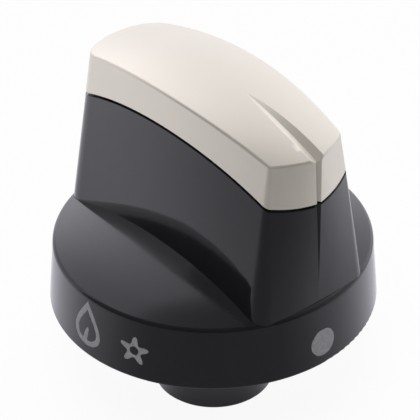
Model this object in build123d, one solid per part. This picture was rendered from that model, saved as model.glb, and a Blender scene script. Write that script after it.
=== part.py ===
from build123d import *
import os
from math import sqrt

# Gas hob knob with a round skirt, a full-width grip bar and a satin metallised cap.
#
# Millimetres, +Z up. The origin is the centre of the hub's lower face, on the spindle's axis.
# The pointer end of the grip faces -Y, which is called the front here.
#
# Three pieces:
#   knob_body     one black moulding: skirt, domed floor, grip, hub, ribs and cap spigot
#   grip_cap      a hollow cap that crowns the grip, held by two pegs
#   spindle_clip  a bowed spring leaf behind the flat of the spindle socket

# Skirt and domed floor
skirt_d = 43.5  # at the lower edge
rim_d = 42.2  # where the wall meets the floor
skirt_h = 8.95
skirt_wall = 1.8
skirt_foot_round = 0.4
rim_round = 0.7
floor_rise = 4.3  # of the dome, above the rim, on the axis
floor_wall = 2.0

# Hub and spindle socket
hub_d = 15.9
hub_drop = 14.2  # below the skirt
hub_foot_chamfer = 0.3
spindle_d = 8.0
spindle_flat = 2.4  # from the axis to the flat of the spindle
socket_gap = 0.1  # all round the spindle
socket_depth = 20.0  # from the hub's lower face
guide_gap = 0.4  # all round the spindle, in the round lead-in below the D-shaped socket
guide_depth = 4.0
core_d = 4.6  # cored hole above the socket
core_roof = 3.0

# Grip: plan at the rim and at the crown
rim_half_width = 9.4  # at the front corners
rim_rear_half_width = 9.0
rim_corner = 19.1  # from the axis to the front corners, along the grip
rim_rear_corner = 19.1
rim_tip = 20.45  # from the axis to the middle of each end
rim_bow = 0.35  # how far the sides bulge between their corners
rim_rear_round = 3.0  # of the rear upright corners
crown_half_width = 5.5
crown_corner = 17.35
crown_rear_corner = 17.55
crown_tip = 20.0
crown_rear_tip = 19.5
crown_bow = 1.7
crown_rear_round = 4.2
nose_bulge = 0.35  # of each half of the nose, beyond its chord
grip_h = 34.55  # top of the crown above the skirt's lower edge
crown_r = 56.0  # of the crown's arch, along the grip
across_r = 31.0  # across the grip
grip_foot = 6.0  # how far the grip's corners run down the skirt wall
grip_wall = 2.2
rim_corner_round = 2.4  # of the front upright corners
crown_corner_round = 0.8
inner_round = 0.4  # least round of an inner corner

# Cap
cap_edge_h = 29.05  # middle of the cap's lower edge, above the skirt's lower edge
cap_edge_r = 46.0
cap_wall = 1.5
cap_roof = 1.8
cap_line = 0.4  # shadow line between the cap and the body
cap_gap = 0.15  # round the spigot
cap_roof_gap = 0.3  # over the spigot
cap_edge_round = 0.4
peg_d = 3.0
peg_gap = 0.15
peg_reach = 1.2  # out of the far side of the spigot's roof
peg_y = 10.0
boss_d = 5.4
seat_gap = 0.3  # round each boss, in its spot face
seat_depth = 0.2
spigot_wall = 2.0

# Pointer groove, over the crown and down the nose
groove_run = (6.0, 12.5, 22.0)  # from the axis: just before it starts, its middle and past the nose
groove_depths = (-0.02, 0.3, 0.75)  # at those places
groove_flares = (5.0, 3.0, 1.35)  # half width for each unit of depth
groove_rise = 0.5  # how far the sides of its cutter run on above the crown
nose_groove_top = 0.65  # depth at the crown
nose_groove_end_h = 12.5  # where it has run out, above the skirt's lower edge
nose_groove_flare = 1.2  # half width for each unit of depth

# Ribs under the floor
rib_turns = (0, 50, 130, 180, 230, 310)  # degrees from +X: none runs along the grip
rib_wall = 1.4
rib_lift = 1.5  # above the skirt's lower edge

# Spring leaf
clip_w = 4.0
clip_t = 0.4
clip_l = 14.0
clip_gap = 0.2
clip_bite = 0.25  # past the flat of the socket
clip_pocket = 1.1  # depth of its recess behind the flat

# Heights above the hub's lower face
skirt_z = hub_drop
rim_z = skirt_z + skirt_h
crown_z = skirt_z + grip_h
cap_edge_z = skirt_z + cap_edge_h
far = 2 * crown_z  # longer than anything cut with it
over = 1.0  # how far a cut runs past the face that it opens
near = 0.001  # points closer than this count as one


def drum(radius, top):
    """A cylinder lying along X whose highest line is at the height top."""
    return Pos(0, 0, top - radius) * Rot(0, 90, 0) * Cylinder(radius, far)


def grip_plan(z, front, rear, tips, bow, rounds):
    """Plan of the grip: two bowed sides, a round rear end and a nose of two arcs that meet at its crease.

    front and rear are the right-hand corners, tips the middles of the two ends, and rounds the radii of
    the front and the rear corners."""
    nose = Vector(0, -tips[0])
    chord = nose - front
    outward = Vector(-chord.Y, chord.X).normalized() * nose_bulge
    mid = front + chord * 0.5 + outward
    side = Vector((front.X + rear.X) / 2 + bow, 0)
    right_half = [ThreePointArc(rear, side, front), ThreePointArc(front, mid, nose)]
    left_half = [mirror(edge, Plane.YZ) for edge in right_half]
    rear_end = ThreePointArc(rear, (0, tips[1]), (-rear.X, rear.Y))
    plan = make_face([*right_half, *left_half, rear_end])
    for y, round_r in zip((front.Y, rear.Y), rounds):
        corners = [point for point in plan.vertices() if abs(point.Y - y) < near < abs(point.X)]
        plan = fillet(corners, round_r)
    return Pos(0, 0, z) * plan


def rim_plan(z, inset=0.0):
    return grip_plan(
        z,
        Vector(rim_half_width - inset, inset - rim_corner),
        Vector(rim_rear_half_width - inset, rim_rear_corner - inset),
        (rim_tip - inset, rim_tip - inset),
        rim_bow,
        [max(round_r - inset, inner_round) for round_r in (rim_corner_round, rim_rear_round)],
    )


def crown_plan(z, inset=0.0):
    return grip_plan(
        z,
        Vector(crown_half_width - inset, inset - crown_corner),
        Vector(crown_half_width - inset, crown_rear_corner - inset),
        (crown_tip - inset, crown_rear_tip - inset),
        crown_bow,
        [max(round_r - inset, inner_round) for round_r in (crown_corner_round, crown_rear_round)],
    )


def grip_form(inset=0.0):
    """The grip's flanks, from the rim to the crown, moved inwards by inset, with no top."""
    flanks = loft([rim_plan(rim_z, inset), crown_plan(crown_z, inset)], ruled=True)
    foot = extrude(rim_plan(rim_z, inset), -grip_foot)
    return flanks + foot


def crown_form(drop=0.0):
    """A barrel lying across the grip. Its skin is the crown, arched both ways and moved inwards by drop."""
    reach = rim_half_width + over
    ring_r = crown_r - across_r
    section_r = across_r - drop
    edge = ring_r + sqrt(section_r**2 - reach**2)
    skin = ThreePointArc((reach, 0, edge), (0, 0, ring_r + section_r), (-reach, 0, edge))
    foot = Polyline((-reach, 0, edge), (-reach, 0, 0), (reach, 0, 0), (reach, 0, edge))
    return Pos(0, 0, crown_z - crown_r) * revolve(make_face([skin, *foot.edges()]), Axis.X)


def disc(radius, low, high, y=0.0):
    """An upright cylinder between two heights."""
    return Pos(0, y, (low + high) / 2) * Cylinder(radius, high - low)


def floor_height(radius, drop=0.0):
    """Height of the domed floor at a radius, or of a ball with the same centre that is smaller by drop."""
    rim_r = rim_d / 2
    ball_r = (rim_r**2 + floor_rise**2) / (2 * floor_rise)
    return rim_z + floor_rise - ball_r + sqrt((ball_r - drop) ** 2 - radius**2)


def domed_disc(foot_r, foot_z, edge_r, edge_z, drop=0.0):
    """A turned form with a sloping wall, from its foot to its edge, under a domed top."""
    mid_r = edge_r / 2
    wall = Polyline((0, 0, foot_z), (foot_r, 0, foot_z), (edge_r, 0, edge_z))
    top = ThreePointArc(
        (edge_r, 0, edge_z),
        (mid_r, 0, floor_height(mid_r, drop)),
        (0, 0, floor_height(0, drop)),
    )
    axis_line = Line((0, 0, floor_height(0, drop)), (0, 0, foot_z))
    return revolve(make_face([*wall.edges(), top, axis_line]), Axis.Z)


def skirt():
    """The skirt's outside, solid, with its foot and its rim rounded."""
    form = domed_disc(skirt_d / 2, skirt_z, rim_d / 2, rim_z)
    rings = form.edges().filter_by(GeomType.CIRCLE).sort_by(Axis.Z)
    form = fillet(rings[0], skirt_foot_round)
    rings = form.edges().filter_by(GeomType.CIRCLE)
    rim = min(rings, key=lambda ring: abs(ring.radius - rim_d / 2) + abs(ring.center().Z - rim_z))
    return fillet(rim, rim_round)


def skirt_hollow():
    """The room under the floor, inside the skirt wall."""
    inner_rim_r = rim_d / 2 - skirt_wall
    return domed_disc(
        skirt_d / 2 - skirt_wall,
        skirt_z,
        inner_rim_r,
        floor_height(inner_rim_r, floor_wall),
        floor_wall,
    )


def spigot():
    """The raised core that the cap goes over."""
    return grip_form(cap_wall + cap_gap) & crown_form(cap_roof + cap_roof_gap)


def grip_pockets():
    """The two deep pockets inside the grip, in front of the hub's column and behind it."""
    roof = cap_edge_z - cap_line - spigot_wall
    wide = grip_form(grip_wall) & drum(cap_edge_r - spigot_wall, roof)
    inset = cap_wall + cap_gap + spigot_wall
    narrow = grip_form(inset) & crown_form(cap_roof + cap_roof_gap + spigot_wall)
    return wide + narrow - disc(hub_d / 2, 0, crown_z)


def crown_height(x, y, drop=0.0):
    """Height of the crown, moved inwards by drop, at a place in plan."""
    ring_r = crown_r - across_r + sqrt((across_r - drop) ** 2 - x**2)
    return crown_z - crown_r + sqrt(ring_r**2 - y**2)


# The cap's bosses end in spot faces, just under the lowest part of the crowned spigot over them
seat_r = boss_d / 2 + seat_gap
seat_z = crown_height(seat_r, peg_y + seat_r, cap_roof + cap_roof_gap) - seat_depth
spigot_roof_z = crown_height(0, peg_y, cap_roof + cap_roof_gap + spigot_wall)


def ribs():
    """Radial ribs from the hub's column to the skirt wall, under the floor."""
    low = skirt_z + rib_lift
    reach = skirt_d / 2
    blade = Pos(reach / 2, 0, (low + rim_z + floor_rise) / 2) * Box(
        reach, rib_wall, rim_z + floor_rise - low
    )
    fan = Part() + [Rot(0, 0, turn) * blade for turn in rib_turns]
    return fan & skirt_hollow()


def socket():
    """D-shaped socket for the spindle, with its round lead-in, the clip's recess and a core above."""
    wall_r = spindle_d / 2 + socket_gap
    flat_y = spindle_flat + socket_gap
    low, high = guide_depth, socket_depth
    round_part = disc(wall_r, low - over, high)
    keep = Pos(0, flat_y - far / 2, 0) * Box(far, far, far)
    recess_l = clip_l + 2 * clip_gap
    recess = Pos(0, flat_y + (clip_pocket - over) / 2, low + recess_l / 2) * Box(
        clip_w + 2 * clip_gap, clip_pocket + over, recess_l
    )
    guide = disc(spindle_d / 2 + guide_gap, -over, guide_depth)
    roof = cap_edge_z - cap_line - spigot_wall - core_roof
    core = disc(core_d / 2, high - over, roof)
    return (round_part & keep) + recess + guide + core


def crown_groove():
    """V groove over the crown: it starts flush, with shallow sides, and ends deep at the nose."""

    def section(y, depth, flare):
        reach = flare * (depth + groove_rise)
        corners = Polyline((0, -depth), (reach, groove_rise), (-reach, groove_rise), close=True)
        upright = Plane(origin=(0, -y, crown_height(0, y)), x_dir=(1, 0, 0), z_dir=(0, -1, 0))
        return upright * make_face(corners)

    return loft([section(*stop) for stop in zip(groove_run, groove_depths, groove_flares)])


def nose_cut():
    """V groove down the nose, from the crown to where it has run out."""

    def wedge(z, depth, tip):
        half = nose_groove_flare * (depth + over)
        corners = Polyline((0, depth - tip), (half, -tip - over), (-half, -tip - over), close=True)
        return Pos(0, 0, z) * make_face(corners)

    end_z = skirt_z + nose_groove_end_h
    end_tip = rim_tip + (crown_tip - rim_tip) * (end_z - rim_z) / (crown_z - rim_z)
    return loft([wedge(end_z, 0, end_tip), wedge(crown_z, nose_groove_top, crown_tip)], ruled=True)


def knob_body():
    low_line = drum(cap_edge_r - cap_line, cap_edge_z - cap_line)
    body = skirt() + (grip_form() & low_line) - nose_cut() + spigot()
    body = body - skirt_hollow() - grip_pockets()
    column = disc(hub_d / 2, 0, rim_z)
    foot_ring = column.edges().filter_by(GeomType.CIRCLE).sort_by(Axis.Z)[0]
    body = body + chamfer(foot_ring, hub_foot_chamfer) + ribs() - socket()
    for y in (-peg_y, peg_y):
        body -= disc(seat_r, seat_z, crown_z, y)
        body -= disc(peg_d / 2 + peg_gap, spigot_roof_z - spigot_wall, crown_z, y)
    return body


def grip_cap():
    outside = grip_form() & crown_form()
    crown = outside.faces().sort_by(Axis.Z)[-1]
    outside = fillet(crown.edges(), cap_edge_round)
    outside = outside - crown_groove() - nose_cut() - drum(cap_edge_r, cap_edge_z)
    room = grip_form(cap_wall) & crown_form(cap_roof)
    cap = outside - room
    for y in (-peg_y, peg_y):
        cap += disc(boss_d / 2, seat_z, crown_height(0, peg_y, cap_roof), y)
        cap += disc(peg_d / 2, spigot_roof_z - peg_reach, seat_z, y)
    return cap


def spindle_clip():
    """A leaf bowed towards the socket: its ends bear on the recess, its middle on the spindle's flat."""
    back_y = spindle_flat + socket_gap + clip_pocket
    front_y = spindle_flat + socket_gap - clip_bite
    low = guide_depth + clip_gap
    high = low + clip_l
    mid = (low + high) / 2
    outer = ThreePointArc((0, back_y, low), (0, front_y + clip_t, mid), (0, back_y, high))
    inner = ThreePointArc((0, back_y - clip_t, low), (0, front_y, mid), (0, back_y - clip_t, high))
    ends = [Line(outer @ 0, inner @ 0), Line(outer @ 1, inner @ 1)]
    leaf = make_face([outer, inner, *ends])
    return extrude(leaf, clip_w / 2, dir=(1, 0, 0), both=True)


parts = {
    "knob_body": knob_body(),
    "grip_cap": grip_cap(),
    "spindle_clip": spindle_clip(),
}

os.makedirs("parts", exist_ok=True)
for name, shape in parts.items():
    export_step(shape, f"parts/{name}.step")
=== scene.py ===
import math
import bpy
import numpy as np
from mathutils import Matrix, Vector


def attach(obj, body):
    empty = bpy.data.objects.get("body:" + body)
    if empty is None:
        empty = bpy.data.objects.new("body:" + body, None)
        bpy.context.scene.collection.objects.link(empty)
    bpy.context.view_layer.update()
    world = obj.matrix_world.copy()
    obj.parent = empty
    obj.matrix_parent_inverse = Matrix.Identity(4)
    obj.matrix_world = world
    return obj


# A gas hob knob: a gloss black moulding with a skirt and a grip bar, a satin metallised cap on the grip,
# a spring leaf in the spindle socket, and three printed marks on the skirt.
# Metres, +Z up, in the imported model's frame. The pointer end of the grip faces -Y.

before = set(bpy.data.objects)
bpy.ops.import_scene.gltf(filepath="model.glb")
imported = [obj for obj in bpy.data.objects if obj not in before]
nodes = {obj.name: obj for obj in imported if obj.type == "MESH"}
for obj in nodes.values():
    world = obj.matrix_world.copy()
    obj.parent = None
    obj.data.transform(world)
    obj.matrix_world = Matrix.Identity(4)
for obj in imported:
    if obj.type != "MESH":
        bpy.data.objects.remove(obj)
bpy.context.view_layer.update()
MM = 0.001

# Skirt wall, which the marks are printed on
SKIRT_FOOT_Z = 14.2 * MM
SKIRT_FOOT_R = 21.75 * MM
RIM_Z = 23.15 * MM
RIM_R = 21.1 * MM

# Printed marks: angle about the spindle, height above the skirt's foot, and their sizes
DOT_ANGLE, DOT_HEIGHT, DOT_R = -90.3, 3.4 * MM, 2.0 * MM
STAR_ANGLE, STAR_HEIGHT = -159.4, 4.25 * MM
STAR_TIP_R, STAR_NOTCH_R, STAR_HOLE_R, STAR_TURN = 2.15 * MM, 1.05 * MM, 0.62 * MM, -4.0
STAR_SHARPNESS = 1.6  # the power of the cosine that shapes the arms
FLAME_ANGLE, FLAME_HEIGHT = 179.5, 1.55 * MM
FLAME_W, FLAME_H, FLAME_STROKE = 5.3 * MM, 6.9 * MM, 0.8 * MM
FLAME_TIP_STROKE = 1.8 * FLAME_STROKE  # the outline's height at its tip
FLAME_SHARPNESS, FLAME_WIDEST = 1.4, 0.77  # the power of sin(t/2), and the most that sin t times it reaches
TONGUE_W, TONGUE_H, TONGUE_LEAN = 0.85 * MM, 2.5 * MM, 0.55 * MM
TONGUE_FOOT = (-0.35 * MM, 0.35 * MM)  # aside from the outline's foot and above it
INK = 0.03 * MM  # how far the ink stands proud of the wall
INK_EDGE = 0.02 * MM  # how far the ink's rim is sunk in the wall

# Black moulding. Its polish changes with the distance from the grip's middle plane.
BLACK_IOR = 1.56
GRIP_EDGE_X, SKIRT_X = 9.3 * MM, 11.5 * MM
GRIP_ROUGHNESS, SKIRT_ROUGHNESS = 0.03, 0.09

# Matt parting line: where it fades in and out, by height over the skirt's foot
LINE_LOW, LINE_HIGH = (-0.4 * MM, -0.2 * MM), (0.3 * MM, 0.6 * MM)
LINE_ROUGHNESS = 0.4

# Camera
VIEW_TARGET = Vector((0.0, 0.0, 14.4 * MM))
VIEW_AZIMUTH, VIEW_ELEVATION, VIEW_ROLL = -41.1, 36.683, -0.42
VIEW_DISTANCE = 400.0 * MM
PICTURE_SIDE = 420.0  # pixels
PIXELS_PER_M = 7502.0  # at the target
TARGET_PIXEL = (213.31, 287.06)
SENSOR = 36.0
CLIP_START, CLIP_END = 0.01, 20.0

# Studio: levels from the open side (0) to the dark side (1), of the floor close to the hub, and of the
# soft lights behind the knob and on its right
COOL = (0.98, 0.96, 1.05, 1.0)
WHITE = (1.0, 1.0, 1.0, 1.0)
PAINT = (0.95, 0.95, 0.95, 1.0)
FLOOR_SIDE = 6.0
FLOOR_DARK_SIDE = (-0.643, -0.766, 0.0)
FLOOR_LEVELS = [(0.0, 1.15), (0.1, 1.1), (0.2, 0.95), (0.3, 1.05), (0.45, 1.0), (0.55, 0.84),
                (0.62, 0.72), (0.73, 0.57), (0.8, 0.4), (0.9, 0.25), (1.0, 0.21)]
FLOOR_GLOW = 0.93
NEAR_HUB = [(6 * MM, 0.0), (10 * MM, 1.0), (22 * MM, 1.0), (34 * MM, 0.0)]
NEAR_GAIN = 0.35
ROOM_DARK_SIDE = (-0.5, -0.866, 0.0)
ROOM_LEVELS = [(0.0, 0.88), (0.25, 0.88), (0.3, 0.86), (0.33, 0.8), (0.35, 0.4), (0.38, 0.22),
               (0.6, 0.1), (1.0, 0.05)]
REAR_LIGHT = (0.25, 0.88, 0.4)
REAR_ACROSS = (0.96, -0.27, 0.0)
REAR_GAIN = 0.92
REAR_FOCUS, REAR_NARROWING = 4.0, 20.0
RIGHT_GAIN = 0.8
LAMP_PLACE, LAMP_AIM = Vector((-0.35, -0.30, 1.00)), Vector((0.0, 0.0, 0.02))
LAMP_SIZE, LAMP_RADIANCE = 0.5, 7.3


# Shader maths


class Value:
    """A number that varies over a surface. Each operator adds the Math node that it stands for."""

    def __init__(self, shader, socket):
        self.shader, self.socket = shader, socket

    def math(self, operation, *others):
        values = dict(enumerate([self, *others]))
        return self.shader.node("ShaderNodeMath", {"operation": operation}, values)

    def __add__(self, other):
        return self.math("ADD", other)

    def __sub__(self, other):
        return self.math("SUBTRACT", other)

    def __mul__(self, other):
        return self.math("MULTIPLY", other)

    def __rsub__(self, other):
        return self.math("MULTIPLY", -1.0) + other

    def at_least(self, least):
        return self.math("MAXIMUM", least)

    def __pow__(self, other):
        return self.math("POWER", other)

    __radd__ = __add__
    __rmul__ = __mul__


class Shader:
    """One node tree. Every node is added by node()."""

    def __init__(self, owner):
        owner.use_nodes = True
        self.tree = owner.node_tree
        self.tree.nodes.clear()

    def node(self, kind, settings=None, inputs=None, output=0):
        """The output of a new node, made from its type, its settings and its inputs. An input is a number,
        a colour or a Value."""
        new = self.tree.nodes.new(kind)
        for name, setting in (settings or {}).items():
            if name == "stops":
                self.set_stops(new.color_ramp, setting)
            else:
                setattr(new, name, setting)
        for name, value in (inputs or {}).items():
            socket = new.inputs[name]
            if isinstance(value, Value):
                self.tree.links.new(value.socket, socket)
            else:
                socket.default_value = value
        return Value(self, new.outputs[output]) if len(new.outputs) else None

    def set_stops(self, ramp, stops):
        while len(ramp.elements) < len(stops):
            ramp.elements.new(1.0)
        for element, (place, level) in zip(ramp.elements, stops):
            element.position = place
            element.color = (level, level, level, 1.0)

    def place(self):
        """The place on the piece, in its own coordinates."""
        return self.node("ShaderNodeTexCoord", output="Object")

    def stretched(self, vector, scale):
        return self.node("ShaderNodeMapping", {}, {"Vector": vector, "Scale": scale})

    def noise(self, vector, size, detail=2.0, roughness=0.5):
        """Noise whose lumps are about size metres across."""
        inputs = {"Vector": vector, "Scale": 1 / size, "Detail": detail, "Roughness": roughness}
        return self.node("ShaderNodeTexNoise", {}, inputs)

    def ramp(self, value, stops):
        """A level that runs straight from stop to stop. Each stop is a value and its level."""
        return self.node("ShaderNodeValToRGB", {"stops": stops}, {"Fac": value})

    def between(self, value, start, end, first, second):
        """first below start, second above end, and a smooth step between them."""
        inputs = {"Value": value, "From Min": start, "From Max": end, "To Min": first, "To Max": second}
        return self.node("ShaderNodeMapRange", {"interpolation_type": "SMOOTHSTEP"}, inputs)

    def colours(self, factor, first, second):
        """A colour between first and second."""
        factor_in, first_in, second_in, result_out = 0, 6, 7, 2
        inputs = {factor_in: factor, first_in: (*first, 1.0), second_in: (*second, 1.0)}
        return self.node("ShaderNodeMix", {"data_type": "RGBA"}, inputs, result_out)

    def bump(self, height, distance, under=None):
        """A normal tilted by a height that swings over distance metres, laid over another normal."""
        inputs = {"Height": height, "Distance": distance}
        if under is not None:
            inputs["Normal"] = under
        return self.node("ShaderNodeBump", {}, inputs)

    def surface(self, shading):
        self.node("ShaderNodeOutputMaterial", {}, {"Surface": shading})


def new_material(name):
    material = bpy.data.materials.new(name)
    return material, Shader(material)


# Finishes


def black_moulding():
    """Gloss black plastic: almost black, with faint moulding ripple, polish haze and dust-fine specks.
    The grip, which is narrower than the skirt, is polished brighter, and the parting line round the
    skirt's foot is matt."""
    material, shader = new_material("black_moulding")
    place = shader.place()
    haze = shader.noise(place, 9 * MM, 3.0)
    ripple = shader.noise(place, 2.2 * MM, 2.0)
    grain = shader.noise(place, 0.12 * MM, 2.0)
    colour = shader.colours(haze, (0.008, 0.008, 0.0095), (0.011, 0.011, 0.0125))
    sideways = shader.node("ShaderNodeSeparateXYZ", {}, {"Vector": place}, "X").math("ABSOLUTE")
    polish = shader.between(sideways, GRIP_EDGE_X, SKIRT_X, GRIP_ROUGHNESS, SKIRT_ROUGHNESS)
    from_foot = shader.node("ShaderNodeSeparateXYZ", {}, {"Vector": place}, "Z") - SKIRT_FOOT_Z
    line = shader.between(from_foot, *LINE_LOW, 0.0, 1.0)
    line = line * shader.between(from_foot, *LINE_HIGH, 1.0, 0.0)
    roughness = polish + haze * 0.03 + grain * 0.015 + line * LINE_ROUGHNESS
    normal = shader.bump(ripple, 0.003 * MM)
    normal = shader.bump(grain, 0.0006 * MM, under=normal)
    shading = shader.node("ShaderNodeBsdfPrincipled", {}, {
        "Base Color": colour,
        "Roughness": roughness,
        "IOR": BLACK_IOR,
        "Normal": normal,
    })
    shader.surface(shading)
    return material


def satin_cap():
    """Satin metallised plastic, warm silver, with a fine grain brushed along the grip."""
    material, shader = new_material("satin_cap")
    place = shader.place()
    cloud = shader.noise(place, 12 * MM, 2.0)
    strokes = shader.noise(shader.stretched(place, (14.0, 1.0, 14.0)), 1.6 * MM, 3.0, 0.6)
    pores = shader.noise(place, 0.1 * MM, 2.0)
    colour = shader.colours(cloud, (0.715, 0.675, 0.575), (0.765, 0.725, 0.625))
    roughness = 0.28 + strokes * 0.06 + cloud * 0.04
    normal = shader.bump(strokes, 0.0012 * MM)
    normal = shader.bump(pores, 0.0006 * MM, under=normal)
    shading = shader.node("ShaderNodeBsdfPrincipled", {}, {
        "Base Color": colour,
        "Metallic": 0.6,
        "Roughness": roughness,
        "Normal": normal,
    })
    shader.surface(shading)
    return material


def spring_steel():
    """Cold-rolled spring steel with rolling lines along the leaf."""
    material, shader = new_material("spring_steel")
    place = shader.place()
    lines = shader.noise(shader.stretched(place, (10.0, 10.0, 1.0)), 2.0 * MM, 3.0, 0.6)
    colour = shader.colours(lines, (0.42, 0.42, 0.44), (0.56, 0.56, 0.57))
    roughness = 0.26 + lines * 0.16
    shading = shader.node("ShaderNodeBsdfPrincipled", {}, {
        "Base Color": colour,
        "Metallic": 1.0,
        "Roughness": roughness,
        "Normal": shader.bump(lines, 0.002 * MM),
    })
    shader.surface(shading)
    return material


def print_ink():
    """Pale grey pad-print ink, thin enough here and there to let a little black through."""
    material, shader = new_material("print_ink")
    place = shader.place()
    mottle = shader.noise(place, 0.5 * MM, 3.0)
    cover = shader.ramp(mottle, [(0.35, 0.0), (0.65, 1.0)])
    colour = shader.colours(cover, (0.225, 0.225, 0.23), (0.3, 0.3, 0.305))
    shading = shader.node("ShaderNodeBsdfPrincipled", {}, {
        "Base Color": colour,
        "Roughness": 0.38 + mottle * 0.12,
        "Normal": shader.bump(mottle, 0.003 * MM),
    })
    shader.surface(shading)
    return material


# Printed marks


def on_wall(angle, aside, height, proud):
    """Points on the skirt's wall. The wall is a cone: its radius falls evenly with height, from foot to
    rim. aside is measured round the wall from the mark's own angle, and proud outwards from the wall."""
    rise = height / (RIM_Z - SKIRT_FOOT_Z)
    radius = SKIRT_FOOT_R + (RIM_R - SKIRT_FOOT_R) * rise + proud
    turn = math.radians(angle) + aside / radius
    return np.stack([radius * np.cos(turn), radius * np.sin(turn), SKIRT_FOOT_Z + height], axis=-1)


def ink_swell(across):
    """The ink's height over the wall: level over most of its width, and sunk at both rims,
    as 1 - (2 across - 1)^6, stretched from the sunk rim to the full height."""
    return (INK + INK_EDGE) * (1 - (2 * across - 1) ** 6) - INK_EDGE


def printed(name, points, closed):
    """A sheet over a grid of points, joined into a ring along its first side if closed."""
    rows, columns = points.shape[:2]
    index = np.arange(rows * columns).reshape(rows, columns)
    if closed:
        index = np.vstack([index, index[:1]])
    low, high = index[:-1], index[1:]
    corners = [low[:, :-1], high[:, :-1], high[:, 1:], low[:, 1:]]
    faces = np.stack(corners, axis=-1).reshape(-1, 4)
    mesh = bpy.data.meshes.new(name)
    mesh.from_pydata(points.reshape(-1, 3).tolist(), [], faces.tolist())
    mesh.shade_smooth()
    mesh.materials.append(ink)
    piece = bpy.data.objects.new(name, mesh)
    bpy.context.scene.collection.objects.link(piece)
    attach(piece, "root")
    return piece


def dot_mark():
    """A round dot: a square grid bent to a disc, as x = u sqrt(1 - v^2/2), y = v sqrt(1 - u^2/2).
    Its ink swells as 1 - r^12, so that it is level up to the sunk rim."""
    side = np.linspace(-1, 1, 41)
    u, v = np.meshgrid(side, side, indexing="ij")
    x = u * np.sqrt(1 - v**2 / 2)
    y = v * np.sqrt(1 - u**2 / 2)
    radius = np.sqrt(x**2 + y**2)
    swell = (INK + INK_EDGE) * (1 - radius**12) - INK_EDGE
    points = on_wall(DOT_ANGLE, DOT_R * x, DOT_HEIGHT + DOT_R * y, swell)
    return printed("print_dot", points, closed=False)


def star_mark():
    """A five-pointed star round a hole: the outer radius swings from notch to tip five times a turn, as
    a cosine sharpened by a power, and the surface runs straight from the hole's circle to it."""
    turn = np.linspace(0, 2 * np.pi, 200, endpoint=False)
    across = np.linspace(0, 1, 15)
    arms = (0.5 + 0.5 * np.cos(5 * turn)) ** STAR_SHARPNESS
    outer = STAR_NOTCH_R + (STAR_TIP_R - STAR_NOTCH_R) * arms
    radius = STAR_HOLE_R + (outer[:, None] - STAR_HOLE_R) * across
    lean = turn[:, None] + math.radians(90 + STAR_TURN)
    swell = ink_swell(across)[None, :] + 0 * radius
    points = on_wall(STAR_ANGLE, radius * np.cos(lean), STAR_HEIGHT + radius * np.sin(lean), swell)
    return printed("print_star", points, closed=True)


def teardrop(turn, width, height):
    """A teardrop: across it is sin t times a power of sin(t/2), over the most that this product reaches,
    and up it is a cosine, from the tip at t = 0."""
    side = np.sin(turn) * np.abs(np.sin(turn / 2)) ** FLAME_SHARPNESS
    return width / 2 * side / FLAME_WIDEST, height * (0.5 + 0.5 * np.cos(turn))


def flame_mark():
    """A flame's outline: the strip between a teardrop and a smaller one, which is narrower by the stroke
    on each side, stands higher by it, and ends lower at the tip."""
    turn = np.linspace(0, 2 * np.pi, 160, endpoint=False)
    across = np.linspace(0, 1, 11)
    outer_x, outer_y = teardrop(turn, FLAME_W, FLAME_H)
    inner_h = FLAME_H - FLAME_STROKE - FLAME_TIP_STROKE
    inner_x, inner_y = teardrop(turn, FLAME_W - 2 * FLAME_STROKE, inner_h)
    inner_y = inner_y + FLAME_STROKE
    x = inner_x[:, None] + (outer_x - inner_x)[:, None] * across
    y = inner_y[:, None] + (outer_y - inner_y)[:, None] * across
    swell = ink_swell(across)[None, :] + 0 * x
    return printed("print_flame", on_wall(FLAME_ANGLE, x, FLAME_HEIGHT + y, swell), closed=True)


def tongue_mark():
    """The flame's inner tongue: a stroke that rises from the outline's foot. It leans right as
    rise^1.5, and its half width is the root of 1 - rise^2.5."""
    rise = np.linspace(0, 1, 41)[:, None]
    across = np.linspace(0, 1, 11)[None, :]
    half = TONGUE_W / 2 * np.sqrt(np.clip(1 - rise**2.5, 0, 1))
    x = TONGUE_FOOT[0] + TONGUE_LEAN * rise**1.5 + half * (1 - 2 * across)
    y = TONGUE_FOOT[1] + TONGUE_H * rise + 0 * across
    swell = ink_swell(across) + 0 * x
    return printed("print_flame_tongue", on_wall(FLAME_ANGLE, x, FLAME_HEIGHT + y, swell), closed=False)


# Stage


def along(shader, direction, axis):
    """A direction's component along an axis, from -1 to 1."""
    settings = {"operation": "DOT_PRODUCT"}
    return shader.node("ShaderNodeVectorMath", settings, {0: direction, 1: axis}, "Value")


def add_floor():
    """A plain white floor. The camera sees it almost at full white, with the shadow kept. Reflections
    see it white behind the knob and on the right, dark on the side where the studio is unlit, and lit
    round the hub."""
    bpy.ops.mesh.primitive_plane_add(size=FLOOR_SIDE, location=(0, 0, 0))
    floor = bpy.context.object
    floor.name = "floor"
    material, shader = new_material("floor")
    camera_ray = shader.node("ShaderNodeLightPath", output="Is Camera Ray")
    glossy_ray = shader.node("ShaderNodeLightPath", output="Is Glossy Ray")
    place = shader.place()
    outwards = shader.node("ShaderNodeVectorMath", {"operation": "NORMALIZE"}, {0: place})
    distance = shader.node("ShaderNodeVectorMath", {"operation": "LENGTH"}, {0: place}, "Value")
    level = shader.ramp(along(shader, outwards, FLOOR_DARK_SIDE) * 0.5 + 0.5, FLOOR_LEVELS)
    level = level + shader.ramp(distance, NEAR_HUB) * NEAR_GAIN
    paint = shader.node("ShaderNodeBsdfDiffuse", {}, {"Color": PAINT})
    white = shader.node("ShaderNodeEmission", {}, {"Color": WHITE, "Strength": 1.0})
    mirrored = shader.node("ShaderNodeEmission", {}, {"Color": COOL, "Strength": level})
    seen = shader.node("ShaderNodeMixShader", {}, {0: camera_ray * FLOOR_GLOW, 1: paint, 2: white})
    shader.surface(shader.node("ShaderNodeMixShader", {}, {0: glossy_ray, 1: seen, 2: mirrored}))
    floor.data.materials.append(material)


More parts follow.
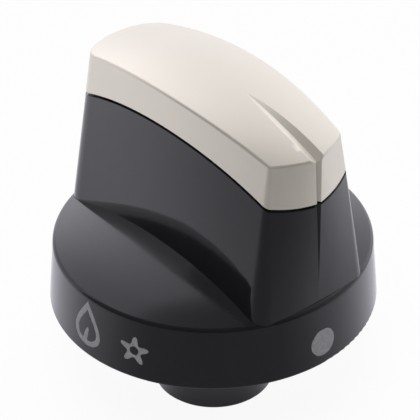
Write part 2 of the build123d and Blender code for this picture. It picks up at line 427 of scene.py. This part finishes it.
def add_world():
    """A white room for the camera. As a light it is bright behind the knob and on the right, and dark on
    the dark side. A tall soft light stands behind the knob: a power of the cosine to its middle,
    narrowed across by a power of 1 - x^2. A wide one on the right grows with the square of the
    direction's x."""
    world = bpy.data.worlds.new("room")
    bpy.context.scene.world = world
    shader = Shader(world)
    camera_ray = shader.node("ShaderNodeLightPath", output="Is Camera Ray")
    direction = shader.node("ShaderNodeTexCoord", output="Generated")
    level = shader.ramp(along(shader, direction, ROOM_DARK_SIDE) * 0.5 + 0.5, ROOM_LEVELS)
    across = along(shader, direction, REAR_ACROSS)
    towards = along(shader, direction, Vector(REAR_LIGHT).normalized()).at_least(0.0)
    level = level + towards ** REAR_FOCUS * (1 - across * across) ** REAR_NARROWING * REAR_GAIN
    level = level + along(shader, direction, (1.0, 0.0, 0.0)).at_least(0.0) ** 2.0 * RIGHT_GAIN
    lit = shader.node("ShaderNodeBackground", {}, {"Color": COOL, "Strength": level})
    white = shader.node("ShaderNodeBackground", {}, {"Color": WHITE, "Strength": 1.0})
    both = shader.node("ShaderNodeMixShader", {}, {0: camera_ray, 1: lit, 2: white})
    shader.node("ShaderNodeOutputWorld", {}, {"Surface": both})


def add_lamp():
    """A square soft lamp overhead, which reflections don't show. Its power is pi times its radiance times
    its area."""
    lamp = bpy.data.lights.new("overhead", "AREA")
    lamp.shape = "SQUARE"
    lamp.size = LAMP_SIZE
    lamp.energy = math.pi * LAMP_RADIANCE * LAMP_SIZE**2
    holder = bpy.data.objects.new("overhead", lamp)
    holder.visible_glossy = False
    bpy.context.scene.collection.objects.link(holder)
    turn = (LAMP_AIM - LAMP_PLACE).to_track_quat("-Z", "Y").to_matrix().to_4x4()
    holder.matrix_world = Matrix.Translation(LAMP_PLACE) @ turn


def add_camera():
    """The photograph's view. The camera stands where the azimuth, elevation and distance say, and its axis
    passes through the middle of the picture, which lies off the target by known pixels."""
    turn, lift = math.radians(VIEW_AZIMUTH), math.radians(VIEW_ELEVATION)
    back = Vector((math.sin(turn) * math.cos(lift), -math.cos(turn) * math.cos(lift), math.sin(lift)))
    right = Vector((math.cos(turn), math.sin(turn), 0.0))
    up = back.cross(right)
    roll = math.radians(VIEW_ROLL)
    level_right, level_up = right, up
    right = math.cos(roll) * level_right + math.sin(roll) * level_up
    up = math.cos(roll) * level_up - math.sin(roll) * level_right
    middle = PICTURE_SIDE / 2
    aim = VIEW_TARGET + right * ((middle - TARGET_PIXEL[0]) / PIXELS_PER_M)
    aim = aim + up * ((TARGET_PIXEL[1] - middle) / PIXELS_PER_M)
    place = VIEW_TARGET + back * VIEW_DISTANCE
    back = (place - aim).normalized()
    right = (right - back * right.dot(back)).normalized()
    up = back.cross(right)
    camera = bpy.data.cameras.new("camera")
    camera.sensor_width = SENSOR
    camera.lens = SENSOR * PIXELS_PER_M * VIEW_DISTANCE / PICTURE_SIDE
    camera.clip_start = CLIP_START
    camera.clip_end = CLIP_END
    holder = bpy.data.objects.new("camera", camera)
    bpy.context.scene.collection.objects.link(holder)
    axes = Matrix((right, up, back)).transposed().to_4x4()
    holder.matrix_world = Matrix.Translation(place) @ axes
    bpy.context.scene.camera = holder


finishes = {"knob_body": black_moulding(), "grip_cap": satin_cap(), "spindle_clip": spring_steel()}
for node, finish in finishes.items():
    nodes[node].data.materials.clear()
    nodes[node].data.materials.append(finish)

ink = print_ink()
dot_mark()
star_mark()
flame_mark()
tongue_mark()

bpy.context.scene.view_settings.view_transform = "Standard"
add_floor()
add_world()
add_lamp()
add_camera()
